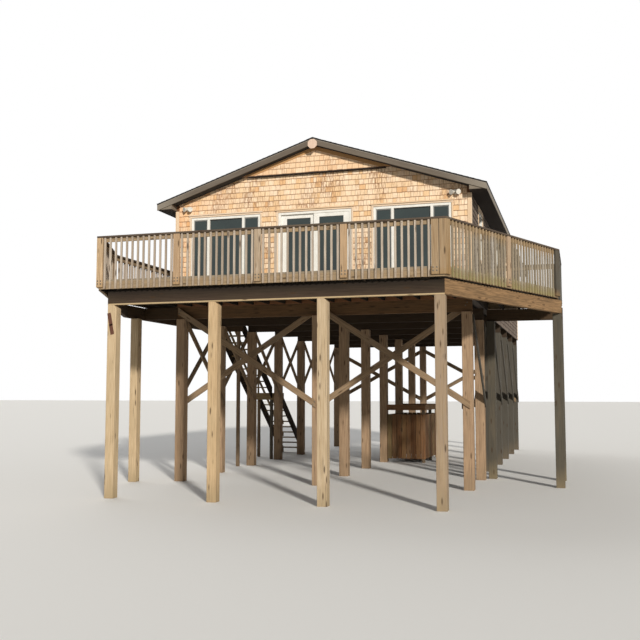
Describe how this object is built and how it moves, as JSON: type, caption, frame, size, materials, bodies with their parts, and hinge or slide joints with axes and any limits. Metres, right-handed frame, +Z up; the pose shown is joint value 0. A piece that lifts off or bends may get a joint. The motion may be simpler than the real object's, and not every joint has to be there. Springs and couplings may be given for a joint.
{
  "type": "raised beach house on timber pilings",
  "caption": "Single-storey gabled beach house raised on timber pilings, with a railed front deck that angles round both corners and a stair along the side.",
  "frame": {"origin": "centre of the foot of the middle piling in the house's front row, at the lowest ground", "axes": "+X to the right along the front, +Y back along the house, +Z up"},
  "size_m": [10.2227, 18.624, 8.1879],
  "materials": {
    "asphalt_shingle": "dark mineral-surfaced roof shingles",
    "cedar_shingle": "cedar shingles",
    "deck_boards": "weathered boards",
    "door_paint": "white painted door",
    "fascia_timber": "grey-brown painted timber",
    "framing_timber": "dark weathered pine",
    "grey_shingle": "weathered grey-brown shingles",
    "lamp_white": "white lamp housings",
    "piling_timber": "weathered sawn pine",
    "railing_timber": "grey-tan weathered pine",
    "sash_grey": "grey window sash",
    "trim_timber": "pale timber trim",
    "white_vinyl": "white window profile",
    "window_glass": "dark reflecting glass"
  },
  "bodies": {
    "root": {"apex_medallion": "trim_timber", "corner_boards": "trim_timber", "corner_posts": "railing_timber", "deck_beams": "framing_timber", "deck_floor": "deck_boards", "deck_joists": "framing_timber", "deck_pilings": "piling_timber", "deck_rim": "framing_timber", "diagonal_balusters": "railing_timber", "door_frame": "white_vinyl", "door_glass": "window_glass", "door_panels": "white_vinyl", "eave_fascias": "fascia_timber", "eave_returns": "fascia_timber", "enclosure_boards": "framing_timber", "enclosure_posts": "piling_timber", "enclosure_rails": "framing_timber", "entry_door": "door_paint", "flood_lights": "lamp_white", "front_balusters": "railing_timber", "front_casings": "trim_timber", "front_cross_braces": "framing_timber", "front_wall": "cedar_shingle", "front_window_frames": "white_vinyl", "front_window_glass": "window_glass", "gable_panel": "cedar_shingle", "house_floor": "deck_boards", "house_girders": "framing_timber", "house_joists": "framing_timber", "house_pilings": "piling_timber", "left_balusters": "railing_timber", "left_roof": "asphalt_shingle", "left_wall": "grey_shingle", "rail_caps": "railing_timber", "railing_posts": "railing_timber", "rake_boards": "fascia_timber", "rear_cross_braces": "framing_timber", "rear_wall": "grey_shingle", "ridge_cap": "asphalt_shingle", "right_roof": "asphalt_shingle", "right_wall": "grey_shingle", "side_balusters": "railing_timber", "side_cross_braces": "framing_timber", "side_window_frames": "white_vinyl", "side_window_glass": "window_glass", "soffits": "fascia_timber", "stair_landings": "framing_timber", "stair_posts": "piling_timber", "stair_railings": "railing_timber", "stair_stringers": "framing_timber", "stair_treads": "framing_timber", "top_rails": "framing_timber", "window_sashes": "sash_grey"}
  },
  "joints": []
}
